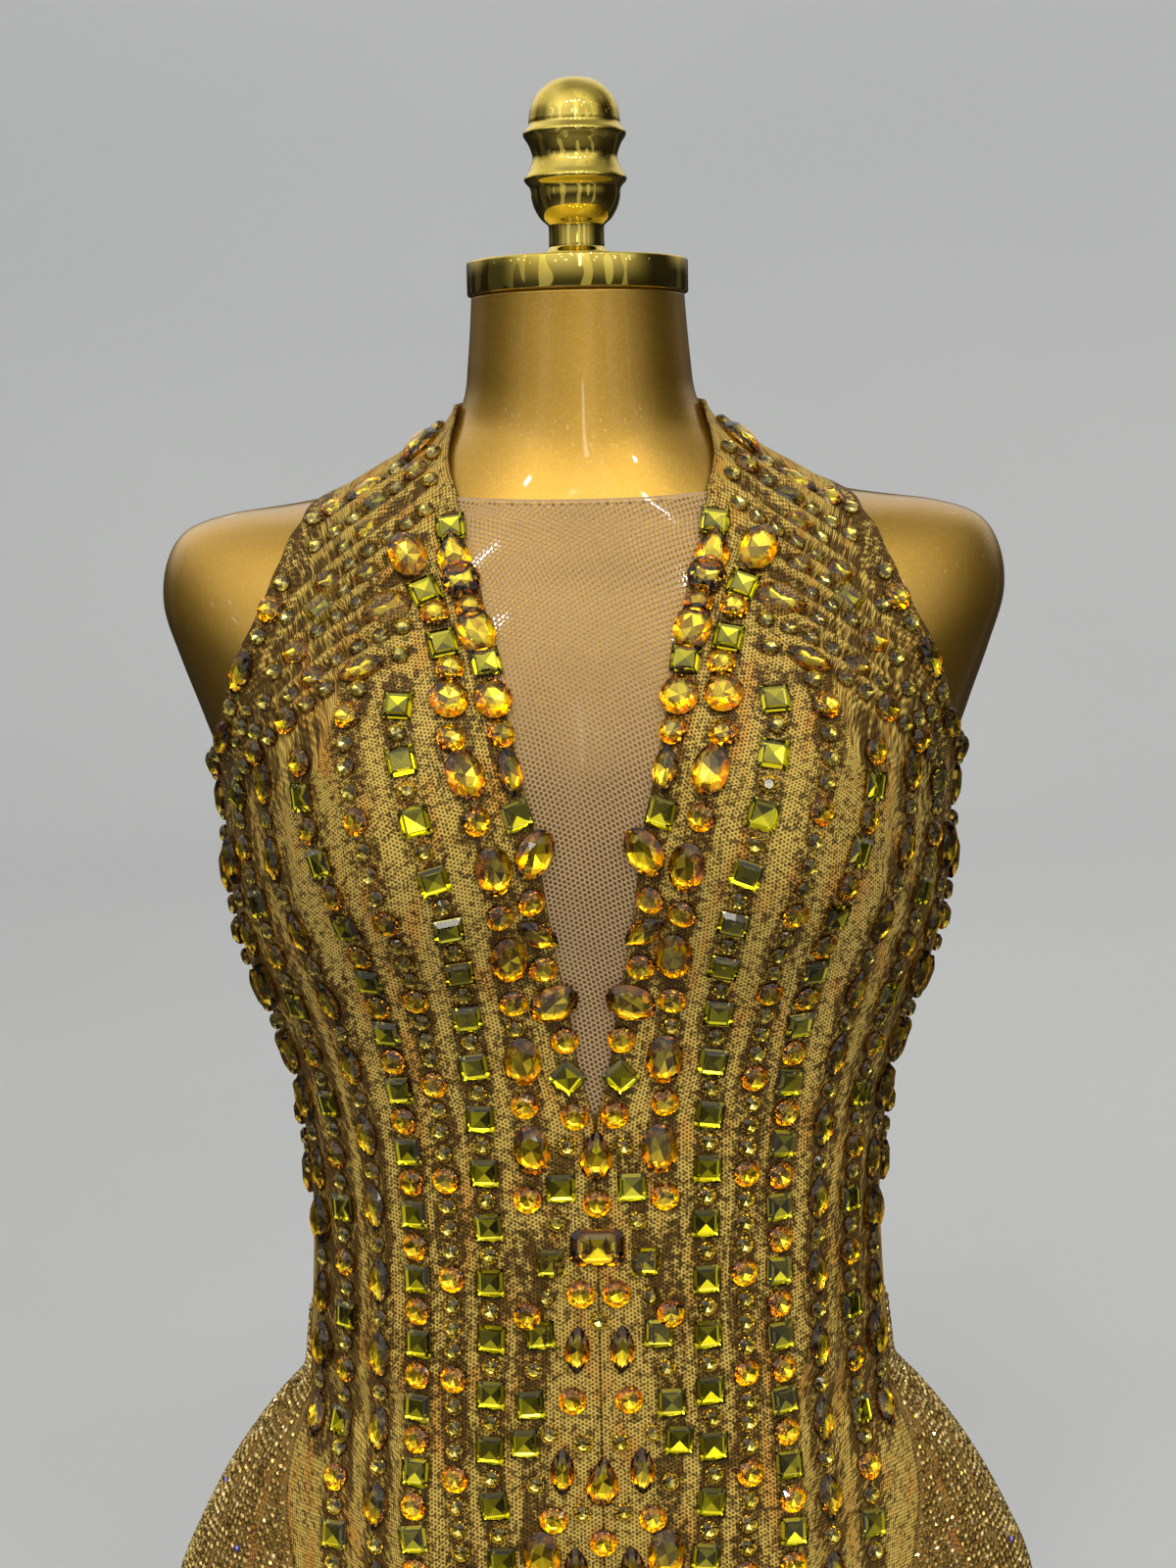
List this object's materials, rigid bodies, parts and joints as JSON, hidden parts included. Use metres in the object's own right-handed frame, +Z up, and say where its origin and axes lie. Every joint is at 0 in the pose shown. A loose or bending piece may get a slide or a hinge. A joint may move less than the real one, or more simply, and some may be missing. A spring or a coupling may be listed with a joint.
{
  "type": "stage bodysuit on a limbless dress form",
  "caption": "Halter stage bodysuit with a deep net-filled neckline and columns of raised stones, worn on a smooth limbless dress form with a neck cap and finial.",
  "frame": {"origin": "centre of the bounding box at the level of the thigh stubs' flat ends", "axes": "+Z up the dress form, +X to the right seen from the front, the front faces -Y"},
  "size_m": [0.404, 0.2476, 0.8977],
  "materials": {
    "gold_lacquer": "satin pearl gold under clear gloss lacquer",
    "polished_gold": "polished",
    "printed_mesh": "printed stretch mesh with raised stones",
    "stoned_mesh": "stretch mesh covered with small stones",
    "nude_net": "fine matt net",
    "amber_stone": "faceted and foiled",
    "olive_stone": "faceted and foiled"
  },
  "bodies": {
    "root": {"dress_form": "gold_lacquer", "neck_cap": "polished_gold", "finial": "polished_gold", "front_left": "printed_mesh", "front_right": "printed_mesh", "centre_stone_1": "amber_stone", "centre_stone_2": "amber_stone", "centre_stone_3": "amber_stone", "centre_stone_4": "amber_stone", "neckline_net": "nude_net", "hip_left": "stoned_mesh", "hip_right": "stoned_mesh", "back": "printed_mesh", "neck_strap_left": "printed_mesh", "neck_strap_right": "printed_mesh", "neck_clasp": "polished_gold", "gusset": "printed_mesh"}
  },
  "joints": []
}
